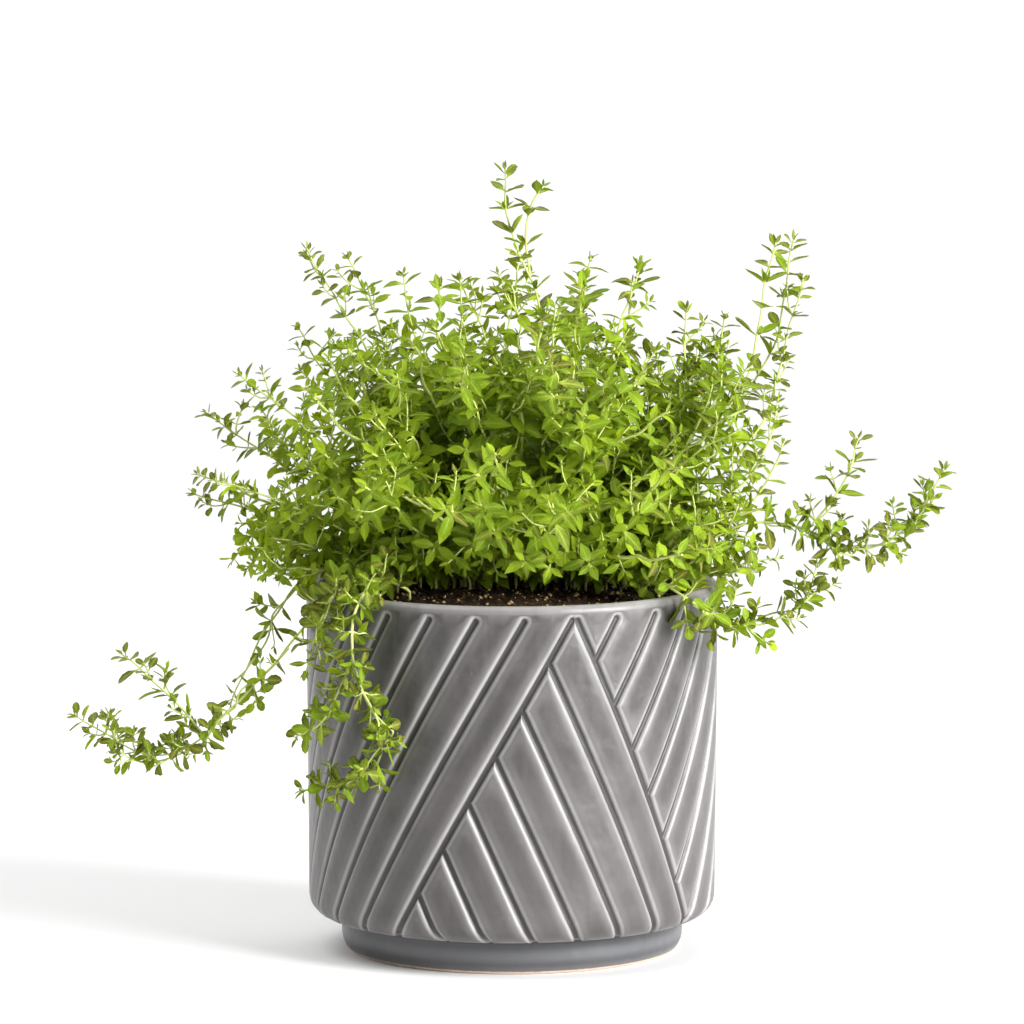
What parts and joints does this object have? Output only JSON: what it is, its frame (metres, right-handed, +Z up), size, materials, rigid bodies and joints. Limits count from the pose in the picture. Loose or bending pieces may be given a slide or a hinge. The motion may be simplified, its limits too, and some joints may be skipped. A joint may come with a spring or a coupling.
{
  "type": "potted thyme",
  "caption": "Bushy thyme in a round glazed ceramic herb planter with slanted relief grooves, a rounded lip and a narrower foot.",
  "frame": {"origin": "on the planter's axis, at the plane that its foot stands on", "axes": "+Z up along the planter's axis, -Y towards the front with the fan of grooves, +X to the right as seen from the front"},
  "size_m": [0.2778, 0.1695, 0.2499],
  "materials": {
    "glaze": "gloss",
    "soil": "matte",
    "thyme": "satin"
  },
  "bodies": {
    "root": {"pot": "glaze", "soil": "soil", "stem_back_01": "thyme", "stem_back_02": "thyme", "stem_back_03": "thyme", "stem_back_04": "thyme", "stem_back_05": "thyme", "stem_back_06": "thyme", "stem_back_07": "thyme", "stem_back_08": "thyme", "stem_back_09": "thyme", "stem_back_10": "thyme", "stem_back_11": "thyme", "stem_centre_crown": "thyme", "stem_front_01": "thyme", "stem_front_02": "thyme", "stem_front_03": "thyme", "stem_front_04": "thyme", "stem_front_05": "thyme", "stem_front_06": "thyme", "stem_front_07": "thyme", "stem_front_08": "thyme", "stem_front_09": "thyme", "stem_front_10": "thyme", "stem_front_11": "thyme", "stem_front_left_hanging": "thyme", "stem_left_crown": "thyme", "stem_left_dropping": "thyme", "stem_left_edge_high": "thyme", "stem_left_edge_low": "thyme", "stem_left_edge_middle": "thyme", "stem_left_fan": "thyme", "stem_left_lip": "thyme", "stem_left_shoulder": "thyme", "stem_left_top": "thyme", "stem_left_top_back": "thyme", "stem_left_trailing": "thyme", "stem_right_arching": "thyme", "stem_right_crown": "thyme", "stem_right_edge_high": "thyme", "stem_right_edge_low": "thyme", "stem_right_edge_middle": "thyme", "stem_right_fan": "thyme", "stem_right_of_centre": "thyme", "stem_right_top": "thyme", "stem_right_trailing": "thyme", "stem_tall_right": "thyme", "stem_tall_right_back": "thyme", "stem_top_centre": "thyme"}
  },
  "joints": []
}
